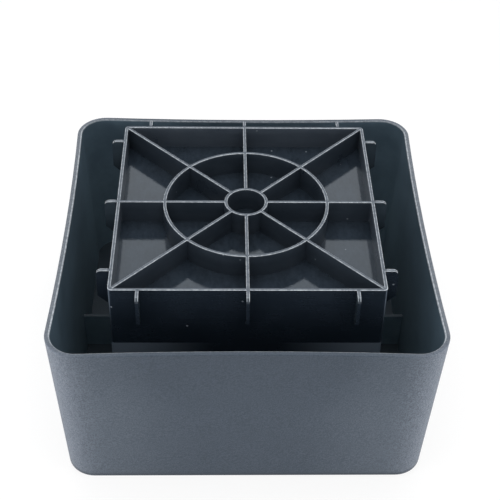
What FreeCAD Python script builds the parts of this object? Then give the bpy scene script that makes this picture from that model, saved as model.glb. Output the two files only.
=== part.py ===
import FreeCAD, Part
import math
import os
from FreeCAD import Vector

# Bed riser connector: one injection-moulded piece, open end up, standing on its base ring.
# Millimetres, +Z up, origin at the centre of the underside.

# Sleeve: the outer square wall, wider at the rim than at the base, its rim sides drawn in a little.
rim_width = 152.0
base_width = 146.3
sleeve_height = 74.3
sleeve_wall = 2.0
rim_corner_radius = 12.5
base_corner_radius = 11.5
rim_bow = 1.3
rim_edge_radius = 0.5
base_edge_radius = 0.5
edge_flats = 3

# Base ring: the plate that joins the sleeve to the block, the floor of the moat between them.
base_plate = 2.2

# Block: the hollow square core, open below, that stands higher than the sleeve.
block_width = 105.4
block_height = 86.0
block_wall = 1.25
block_corner_radius = 1.5
block_draft = 0.5

# Rib net on the block: perimeter wall, cross, diagonals, ring and hub above a closed floor.
cell_depth = 10.4
cell_floor = 2.0
rib_thickness = 1.25
rib_edge_break = 0.25
ring_radius = 33.25
hub_radius = 8.3

# Fins: short upright tabs high on the block's sides, which centre a riser pushed down over it.
fin_reach = 5.2
fin_height = 13.0
fin_thickness = 1.25
fin_offset = 41.5
fin_top_radius = 2.2

# Webs: low walls across the moat, from the middle of each side of the block to the sleeve.
web_height = 20.0
web_thickness = 1.5

# Heights and slopes that follow from the sizes above.
floor_top = block_height - cell_depth
recess_top = floor_top - cell_floor
draft_slope = math.tan(math.radians(block_draft))
side_slope = (rim_width / 2 - rim_bow - base_width / 2) / sleeve_height
root_height = base_plate / 2


def block_half(z):
    """Half the block's outside width at a height: the draft widens it downwards."""
    return block_width / 2 + (block_height - z) * draft_slope


def block_root(z):
    """Distance from the axis to the middle of the block's wall, where fins and webs are rooted."""
    return block_half(z) - block_wall / 2


def sleeve_root(z):
    """Distance from the axis to the middle of the sleeve's wall, halfway along a side."""
    return base_width / 2 - sleeve_wall / 2 + side_slope * z


def turned(shape, quarter):
    """A copy of a shape turned about the axis by quarters of a turn."""
    copy = shape.copy()
    copy.rotate(Vector(0, 0, 0), Vector(0, 0, 1), 90 * quarter)
    return copy


def rounded_square(half, radius, bow, z):
    """Closed outline with round corners; a bow draws the middle of each side inwards."""
    centre = half - radius
    lean = 2 * math.atan(bow / centre)
    across = centre + radius * math.cos(lean)
    along = centre - radius * math.sin(lean)
    diagonal = centre + radius * math.sqrt(0.5)
    start, end = Vector(across, -along, z), Vector(across, along, z)
    if bow > 0:
        side = Part.Arc(start, Vector(half - bow, 0, z), end).toShape()
    else:
        side = Part.LineSegment(start, end).toShape()
    corner = Part.Arc(end, Vector(diagonal, diagonal, z), Vector(along, across, z)).toShape()
    return Part.Wire([turned(edge, quarter) for quarter in range(4) for edge in (side, corner)])


def polygon(points):
    """Closed outline through points."""
    return Part.makePolygon(points + points[:1])


def square(half, z):
    """Closed outline with sharp corners."""
    return polygon([Vector(half * sx, half * sy, z) for sx, sy in ((1, -1), (1, 1), (-1, 1), (-1, -1))])


def ruled(low, high):
    """Solid with straight sides between two outlines."""
    return Part.makeLoft([low, high], True, True)


def quarter_round(radius):
    """Inset and depth of the flats that round an edge, from the side wall to the end face."""
    angles = [math.radians(90 * step / edge_flats) for step in range(edge_flats + 1)]
    return [(radius * (1 - math.cos(angle)), radius * (1 - math.sin(angle))) for angle in angles]


def sleeve_outline(z, inset):
    """The sleeve's outside at a height, or a line set in from it."""
    share = z / sleeve_height
    half = (base_width + (rim_width - base_width) * share) / 2
    radius = base_corner_radius + (rim_corner_radius - base_corner_radius) * share
    return rounded_square(half - inset, radius - inset, rim_bow * share, z)


def sleeve():
    """The open wall with its base plate, its rim and its bottom edge rounded."""
    rim_steps = quarter_round(rim_edge_radius)
    foot = [sleeve_outline(depth, inset) for inset, depth in reversed(quarter_round(base_edge_radius))]
    rim = [sleeve_outline(sleeve_height - depth, inset) for inset, depth in rim_steps]
    lip = [sleeve_outline(sleeve_height - depth, sleeve_wall - inset) for inset, depth in rim_steps]
    outside = Part.makeLoft(foot + rim, True, True)
    inside = Part.makeLoft([sleeve_outline(base_plate, sleeve_wall)] + lip, True, True)
    return outside.cut(inside)


def block_outline(z, inset):
    """The block's outside at a height, or a line set in from it."""
    return rounded_square(block_half(z) - inset, block_corner_radius - inset, 0, z)


def block_envelope():
    """The block's outside, wider towards the base, its upper edge broken."""
    foot = block_outline(0, 0)
    shoulder = block_outline(block_height - rib_edge_break, 0)
    top = block_outline(block_height, rib_edge_break)
    return Part.makeLoft([foot, shoulder, top], True, True)


def recess():
    """The hollow under the block, open at the base."""
    mouth = square(block_half(0) - block_wall, 0)
    return ruled(mouth, square(block_half(recess_top) - block_wall, recess_top))


def cell_pocket():
    """The space inside the block's perimeter wall, above the floor, its upper edge broken."""
    half = block_half(block_height) - block_wall
    shoulder = block_height - rib_edge_break
    pocket = ruled(square(half, floor_top), square(half, shoulder))
    return pocket.fuse(ruled(square(half, shoulder), square(half + rib_edge_break, block_height)))


def rib_profile(x):
    """Section of a rib in the XZ plane about a distance from the axis, its upper edges broken."""
    half = rib_thickness / 2
    flat = half - rib_edge_break
    foot = floor_top - cell_floor / 2
    shoulder = block_height - rib_edge_break
    outline = [(-half, foot), (half, foot), (half, shoulder), (flat, block_height), (-flat, block_height),
               (-half, shoulder)]
    return Part.Face(polygon([Vector(x + px, 0, pz) for px, pz in outline]))


def straight_rib(angle):
    """A rib through the axis from side to side or corner to corner, before it is trimmed."""
    length = 2 * block_width
    rib = rib_profile(0).extrude(Vector(0, length, 0))
    rib.translate(Vector(0, -length / 2, 0))
    rib.rotate(Vector(0, 0, 0), Vector(0, 0, 1), angle)
    return rib


def round_rib(radius):
    """A rib that runs round the axis."""
    return rib_profile(radius).revolve(Vector(0, 0, 0), Vector(0, 0, 1), 360)


def rib_net():
    """Cross, diagonals and ring, with an open hub where they would meet."""
    hub_bore = Part.makeCylinder(hub_radius, 2 * block_height)
    spokes = [straight_rib(angle) for angle in (0, 45, 90, 135)]
    spokes = spokes[0].multiFuse(spokes[1:]).cut(hub_bore)
    inner = block_root(block_height)
    reach = ruled(square(inner, 0), square(inner, 2 * block_height))
    return spokes.common(reach).multiFuse([round_rib(ring_radius), round_rib(hub_radius)])


def upright_plate(outline, thickness, offset):
    """A flat plate in the XZ plane, given its edge, centred on a distance along Y."""
    plate = Part.Face(outline).extrude(Vector(0, thickness, 0))
    plate.translate(Vector(0, offset - thickness / 2, 0))
    return plate


def fin(offset):
    """One tab on the +X side, its outer upper corner rounded, its underside sloping back to the wall."""
    shoulder_height = block_height - fin_top_radius
    bulge = fin_top_radius * math.sqrt(0.5)
    foot_height = block_height - fin_height
    foot = Vector(block_half(foot_height) + fin_reach, 0, foot_height)
    toe_height = foot_height - fin_reach - block_wall / 2
    root_low = Vector(block_root(toe_height), 0, toe_height)
    shoulder = Vector(block_half(shoulder_height) + fin_reach, 0, shoulder_height)
    crown = Vector(block_half(block_height) + fin_reach - fin_top_radius, 0, block_height)
    bend = Vector(crown.x + bulge, 0, shoulder_height + bulge)
    root_high = Vector(block_root(block_height), 0, block_height)
    edges = [Part.LineSegment(root_low, foot), Part.LineSegment(foot, shoulder),
             Part.Arc(shoulder, bend, crown), Part.LineSegment(crown, root_high),
             Part.LineSegment(root_high, root_low)]
    return upright_plate(Part.Wire([edge.toShape() for edge in edges]), fin_thickness, offset)


def web():
    """The low wall across the moat on the +X side, let into the block and the sleeve."""
    ends = [(block_root(root_height), root_height), (sleeve_root(root_height), root_height),
            (sleeve_root(web_height), web_height), (block_root(web_height), web_height)]
    return upright_plate(polygon([Vector(x, 0, z) for x, z in ends]), web_thickness, 0)


def connector():
    """The whole moulding as one solid."""
    core = block_envelope().cut(cell_pocket())
    side = [fin(offset) for offset in (-fin_offset, 0, fin_offset)] + [web()]
    sides = [turned(plate, quarter) for quarter in range(4) for plate in side]
    body = sleeve().multiFuse([core, rib_net()] + sides)
    return body.cut(recess()).removeSplitter()


os.makedirs("parts", exist_ok=True)
connector().exportStep("parts/riser_connector.step")
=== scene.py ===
import bpy
import math
from mathutils import Matrix, Vector


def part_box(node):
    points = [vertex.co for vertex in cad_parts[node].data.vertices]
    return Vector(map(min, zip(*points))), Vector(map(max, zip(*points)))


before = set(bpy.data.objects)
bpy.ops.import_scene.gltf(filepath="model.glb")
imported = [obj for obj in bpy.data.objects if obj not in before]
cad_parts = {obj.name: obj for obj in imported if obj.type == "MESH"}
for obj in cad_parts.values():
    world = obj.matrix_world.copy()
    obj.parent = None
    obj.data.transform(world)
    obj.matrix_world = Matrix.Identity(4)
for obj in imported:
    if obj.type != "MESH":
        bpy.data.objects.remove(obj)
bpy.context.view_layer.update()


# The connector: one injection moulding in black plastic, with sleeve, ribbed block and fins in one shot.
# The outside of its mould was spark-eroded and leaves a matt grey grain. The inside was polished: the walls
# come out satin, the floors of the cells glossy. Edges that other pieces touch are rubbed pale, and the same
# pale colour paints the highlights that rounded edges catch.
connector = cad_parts["riser_connector"]
rib_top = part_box("riser_connector")[1].z
rim_top = 0.0743
fin_offset = 0.0415


class Wire:
    """An output of a shader node. Arithmetic on it adds Math nodes to the same tree."""

    def __init__(self, node, output=0):
        self.node = node
        self.socket = node.outputs[output]

    def at(self, output):
        """Another output of the same node."""
        return Wire(self.node, output)

    def add(self, kind, settings, sockets, output=0):
        """A new node of a kind: its settings first, then the values or links of its sockets."""
        tree = self.node.id_data
        node = tree.nodes.new("ShaderNode" + kind)
        for name, value in settings.items():
            setattr(node, name, value)
        for name, value in sockets.items():
            if isinstance(value, Wire):
                value.feed(node, name)
            else:
                node.inputs[name].default_value = value
        return Wire(node, output)

    def feed(self, node, name):
        """Links this output to a socket of a node that is there already."""
        self.node.id_data.links.new(self.socket, node.inputs[name])

    def math(self, operation, other=0.0):
        return self.add("Math", {"operation": operation}, {0: self, 1: other})

    def __add__(self, other):
        return self.math("ADD", other)

    __radd__ = __add__

    def __mul__(self, other):
        return self.math("MULTIPLY", other)

    __rmul__ = __mul__

    def __sub__(self, other):
        return self.math("SUBTRACT", other)

    def __rsub__(self, other):
        return self.add("Math", {"operation": "SUBTRACT"}, {0: other, 1: self})

    def __or__(self, other):
        """The greater of two."""
        return self.math("MAXIMUM", other)

    __ror__ = __or__

    def rise(self, low, high):
        """0 below low, 1 above high, with a soft step between."""
        settings = {"interpolation_type": "SMOOTHSTEP"}
        return self.add("MapRange", settings, {"Value": self, "From Min": low, "From Max": high})

    def mix(self, low, high):
        """A colour between two, by this share. Each is a link, or red, green and blue."""
        low, high = [end if isinstance(end, Wire) else (*end, 1) for end in (low, high)]
        return self.add("Mix", {"data_type": "RGBA"}, {"Factor": self, 6: low, 7: high}, 2)

    def stretch(self, x, y, z):
        return self.add("Mapping", {}, {"Vector": self, "Scale": (x, y, z)})

    def noise(self, scale, detail):
        sockets = {"Vector": self, "Scale": scale, "Detail": detail, "Roughness": 0.6}
        return self.add("TexNoise", {}, sockets)


plastic = bpy.data.materials.new("moulded_plastic_finish")
plastic.use_nodes = True
shader = plastic.node_tree.nodes["Principled BSDF"]
place = Wire(shader).add("TexCoord", {}, {}, "Object")
facing = place.add("SeparateXYZ", {}, {0: place.at("Normal")})
spot = place.add("SeparateXYZ", {}, {0: place})
x, y, height = spot, spot.at("Y"), spot.at("Z")
across, along = x.math("ABSOLUTE"), y.math("ABSOLUTE")

# How far a point lies from the axis towards the nearest side, and how far along that side from its middle.
reach = across | along
beside = across.math("MINIMUM", along)

# How far a face looks up, and how far out it lies from the axis along its own normal: below 0 it looks in.
up = facing.at("Z")
outwards = x * facing + y * facing.at("Y")

# The parts of the moulding: each pair of numbers is where a part begins and where it is reached in full.
level = up.rise(0.85, 0.95)
sideways = (across - along).rise(0.000, 0.012)
on_sleeve = reach.rise(0.0640, 0.0660)
in_cells = 1 - reach.rise(0.0524, 0.0526)
edge_wall = reach.rise(0.0508, 0.0512)
on_block_side = (1 - in_cells) * (1 - on_sleeve)
on_fin = reach.rise(0.0532, 0.0536) * (1 - on_sleeve)
at_rim = height.rise(rim_top - 0.0006, rim_top - 0.0005)
at_rib_top = height.rise(rib_top - 0.00026, rib_top - 0.00021)
above_web = height.rise(0.0202, 0.0206)
above_base = height.rise(0.001, 0.002)
on_strip = 1 - height.rise(0.0577, 0.0580)
from_fin_middle = beside.math("MINIMUM", (beside - fin_offset).math("ABSOLUTE"))

# Where each finish lies.
looks_in = on_sleeve * (1 - outwards.rise(-0.012, -0.008))
inside_sleeve = 1 - outwards.rise(0.060, 0.064)
low_moat = reach.rise(0.0538, 0.0542) * (1 - above_web) * above_base * inside_sleeve
out_of_moat = 1 - low_moat
moat_wall = looks_in * (1 - up.rise(0.3, 0.5))
grained = on_sleeve * (1 - looks_in) * out_of_moat
# Painted highlight: the grained rim's top at the left and right is painted lighter, for the side lamps' light on
# its rounding.
side_rim_highlight = grained * level * at_rim * sideways
flat_top = at_rib_top * level
cell_floor = in_cells * level * (1 - at_rib_top)
fin_face = on_fin * (1 - outwards.rise(0.020, 0.030)) * (1 - up.rise(0.2, 0.4)) * out_of_moat
block_wall = on_block_side * outwards.rise(0.050, 0.052) * out_of_moat
# Painted light: the block's wall below 58 mm is lighter towards its ends, where light comes in from the side
# moats.
side_lit_strip = block_wall * on_strip * beside.rise(0.010, 0.052)

# Wear and painted highlights: the rim's inner lip, painted palest at the left and right as a highlight from the
# side lamps, the ribs' broken edges, rubbed and painted as highlights, and the fins' rounded shoulders, a
# painted highlight.
lip_wear_and_highlight = looks_in * at_rim * (0.45 + 0.55 * sideways)
fin_crown = on_fin * height.rise(0.0826, 0.0832) * up.rise(0.35, 0.60)
fin_shoulder_highlight = fin_crown * (0.04 + 0.68 * from_fin_middle.rise(0.00030, 0.00036))
edge_wear_and_highlight = lip_wear_and_highlight | (at_rib_top - flat_top) | fin_shoulder_highlight

# Grain of the spark-eroded mould, slow mottling of the melt, streaks where the melt ran, scratches, and dust.
grain = place.noise(1900.0, 2.0)
coarse = place.noise(700.0, 3.0)
mottle = place.noise(90.0, 4.0)
streak = place.stretch(40.0, 40.0, 400.0).noise(1.0, 4.0)
scratch = place.stretch(600.0, 220.0, 60.0).noise(1.0, 3.0)
dots = place.add("TexVoronoi", {}, {"Vector": place, "Scale": 140.0, "Randomness": 1.0})
chance = dots.add("SeparateColor", {}, {0: dots.at("Color")})
speck = (1 - dots.rise(0.03, 0.07)) * chance.rise(0.55, 0.57)
flecks = coarse.rise(0.3, 0.7)
clouds = mottle.rise(0.3, 0.7)
melt = (0.6 * mottle + 0.4 * streak).rise(0.3, 0.7)
rubbing = (0.4 * scratch + 0.2 * coarse + 0.4 * mottle).rise(0.36, 0.64)
sparks = (0.06 * mottle + 0.24 * coarse + 0.70 * grain).rise(0.36, 0.64)

# Colours of the smooth inside: ribs, the block's edge wall, the cells' floors, and down in the moat. The edge
# wall is painted lighter than the ribs, as painted light for what it catches.
rib_colour = melt.mix((0.025, 0.034, 0.047), (0.039, 0.051, 0.067))
lit_edge_wall_colour = melt.mix((0.056, 0.070, 0.091), (0.074, 0.091, 0.114))
floor_colour = rubbing.mix((0.014, 0.020, 0.028), (0.023, 0.032, 0.044))
block_side_colour = melt.mix((0.008, 0.012, 0.018), (0.012, 0.017, 0.025))
fin_colour = melt.mix((0.018, 0.026, 0.034), (0.025, 0.035, 0.045))
moat_floor_colour = melt.mix((0.013, 0.020, 0.027), (0.018, 0.027, 0.035))
# Painted light: the moat's walls and webs are far lighter than the plastic, and lightest deep down, for the
# light that falls into the moat.
moat_painted_light_deep = clouds.mix((0.105, 0.160, 0.200), (0.132, 0.198, 0.245))
moat_painted_light_high = clouds.mix((0.066, 0.102, 0.134), (0.086, 0.131, 0.169))
moat_painted_light_colour = height.rise(0.020, 0.068).mix(moat_painted_light_deep, moat_painted_light_high)
dust_colour = (0.24, 0.27, 0.31)
side_lit_strip_colour = (0.155, 0.185, 0.225)

# Colours of the grained outside, with painted light: lighter towards the corners, where the side lamps light it,
# with a painted sheen on the rounded corners themselves, a little darker towards the rim, and painted shade at
# its foot.
upper = height.rise(0.035, 0.074)
lit_towards_corners = (beside.rise(0.015, 0.070) - 0.35 * upper) | 0.0
at_corner = beside.rise(0.055, 0.071)
pit_colour = at_corner.mix(lit_towards_corners.mix((0.019, 0.028, 0.041), (0.045, 0.056, 0.073)), (0.052, 0.062, 0.082))
peak_colour = at_corner.mix(lit_towards_corners.mix((0.041, 0.053, 0.073), (0.078, 0.094, 0.118)), (0.125, 0.143, 0.174))
# Painted shade: darkest at the foot, and a little darker towards the rim away from the corners.
painted_shade = 0.6 * (1 - height.rise(0.0008, 0.0030)) + 0.14 * upper * (1 - lit_towards_corners)
grained_colour = painted_shade.mix(sparks.mix(pit_colour, peak_colour), (0.012, 0.016, 0.024))
side_rim_highlight_colour = flecks.mix((0.074, 0.085, 0.102), (0.130, 0.144, 0.165))
flat_top_colour = flecks.mix((0.050, 0.060, 0.076), (0.089, 0.102, 0.121))
# Pale colour of rubbed edges, which also paints the highlights on rounded edges.
edge_wear_and_highlight_colour = coarse.rise(0.35, 0.65).mix((0.25, 0.275, 0.305), (0.46, 0.495, 0.53))

cell_colour = cell_floor.mix(edge_wall.mix(rib_colour, lit_edge_wall_colour), floor_colour)
colour = in_cells.mix(block_side_colour, cell_colour)
for share, finish in (
    (0.8 * speck, dust_colour),
    (moat_wall | low_moat, moat_painted_light_colour),
    (fin_face, fin_colour),
    (low_moat * level, moat_floor_colour),
    (0.9 * side_lit_strip, side_lit_strip_colour),
    (grained, grained_colour),
    (side_rim_highlight, side_rim_highlight_colour),
    (flat_top, flat_top_colour),
    (edge_wear_and_highlight, edge_wear_and_highlight_colour),
):
    colour = share.mix(colour, finish)

# Roughness of each finish, from the satin of the moat to the gloss of the cells' floors and the matt grain.
rough = 0.52 + 0.12 * mottle
for share, finish in (
    (on_block_side * out_of_moat, 0.16 + 0.10 * mottle),
    (in_cells, 0.22 + 0.16 * mottle),
    (cell_floor, 0.03 + 0.06 * mottle),
    (grained | at_rib_top | edge_wear_and_highlight, 0.48 + 0.12 * coarse),
):
    rough = rough + (finish - rough) * share

# The grain stands a tenth of a millimetre high on the outside, and hardly shows on the smooth inside.
relief = (grain + 0.8 * coarse) * (1.3 + 1.2 * at_corner)
bump = relief.add("Bump", {}, {"Strength": 0.10 + 0.90 * grained, "Distance": 0.0001, "Height": relief})

colour.feed(shader, "Base Color")
rough.feed(shader, "Roughness")
bump.feed(shader, "Normal")
shader.inputs["Specular Tint"].default_value = (0.77, 0.885, 1.0, 1)
connector.material_slots[0].material = plastic


# The table: a wide white sheet that the part stands on, drawn a hair below it so that their faces don't mix.
# It is lit from within as seen by the camera or in a reflection, so it shows white, and most of all far from
# the part; close to it the paint shows through and takes a soft shadow.
sheet_size = 6.0
sheet_drop = 0.0001
glow_near_part = 0.8
bpy.ops.mesh.primitive_plane_add(size=sheet_size, location=(0, 0, -sheet_drop))
table = bpy.context.object
table.name = "table"
table_paint = bpy.data.materials.new("table_paint")
table_paint.use_nodes = True
paint = table_paint.node_tree.nodes["Principled BSDF"]
paint.inputs["Base Color"].default_value = (0.93, 0.93, 0.93, 1)
paint.inputs["Roughness"].default_value = 0.9
paint.inputs["Specular IOR Level"].default_value = 0.0


def seen_rays(wire):
    """1 for what the camera sees, straight, in a reflection or through glass, and 0 for what lights the part."""
    ray = wire.add("LightPath", {}, {}, "Is Camera Ray")
    return ray | ray.at("Is Glossy Ray") | ray.at("Is Transmission Ray")


sheet_place = Wire(paint).add("TexCoord", {}, {}, "Object")
from_part = sheet_place.add("VectorMath", {"operation": "LENGTH"}, {0: sheet_place}, "Value")
glowing = seen_rays(sheet_place) * (glow_near_part + (1 - glow_near_part) * from_part.rise(0.20, 1.00))
glow = sheet_place.add("Emission", {}, {"Color": (1, 1, 1, 1), "Strength": 1.0})
sheet = sheet_place.add("MixShader", {}, {"Fac": glowing, 1: Wire(paint), 2: glow})
sheet.feed(table_paint.node_tree.nodes["Material Output"], "Surface")
table.data.materials.append(table_paint)


# The light: a white cloth tent all round the table, with soft boxes shining through it from behind, overhead
# and in front, and a small bright panel low at each side that brings out the corners' grain. The tent itself
# shows white, and lights the part with less.
tent_level = 0.42
tent = bpy.data.worlds.new("tent")
tent.use_nodes = True
bpy.context.scene.world = tent
air = tent.node_tree.nodes["Background"]
air.inputs["Color"].default_value = (1, 1, 1, 1)
tent_strength = tent_level + (1 - tent_level) * seen_rays(Wire(air))
tent_strength.feed(air, "Strength")


def soft_light(name, location, width, length, brightness):
    """A lamp panel aimed at the part; its brightness is against a white sheet's 1."""
    lamp = bpy.data.lights.new(name, "AREA")
    lamp.shape = "RECTANGLE"
    lamp.size = width
    lamp.size_y = length
    lamp.energy = brightness * math.pi * width * length
    stand = bpy.data.objects.new(name, lamp)
    bpy.context.scene.collection.objects.link(stand)
    stand.location = location
    aim = Vector((0, 0, rim_top / 2)) - stand.location
    stand.rotation_euler = aim.to_track_quat("-Z", "Y").to_euler()


soft_light("back_box", (0.0, 0.75, 1.0), width=1.2, length=0.8, brightness=0.84)
soft_light("top_box", (0.0, 0.05, 0.90), width=1.1, length=1.1, brightness=1.9)
soft_light("front_panel", (0.0, -0.80, 0.25), width=1.0, length=0.5, brightness=0.5)
soft_light("left_panel", (-0.34, -0.16, 0.06), width=0.30, length=0.14, brightness=7.8)
soft_light("right_panel", (0.34, -0.16, 0.06), width=0.30, length=0.14, brightness=7.1)


# The camera: half a metre off, in front of the part and above it, with a long lens. It is turned a little to
# one side and tipped a little, as when held by hand. Its angles are in radians.
camera_place = Vector((-0.00950, -0.35315, 0.37325))
camera_yaw = -0.0328
camera_dip = 0.7265
camera_tip = 0.0240
camera = bpy.data.cameras.new("camera")
camera.sensor_width = 36.0
camera.lens = 79.96
camera_stand = bpy.data.objects.new("camera", camera)
bpy.context.scene.collection.objects.link(camera_stand)
turn = Matrix.Rotation(camera_yaw, 4, "Z") @ Matrix.Rotation(math.pi / 2 - camera_dip, 4, "X")
camera_stand.matrix_world = Matrix.Translation(camera_place) @ turn @ Matrix.Rotation(camera_tip, 4, "Z")
bpy.context.scene.camera = camera_stand
bpy.context.scene.view_settings.view_transform = "Standard"
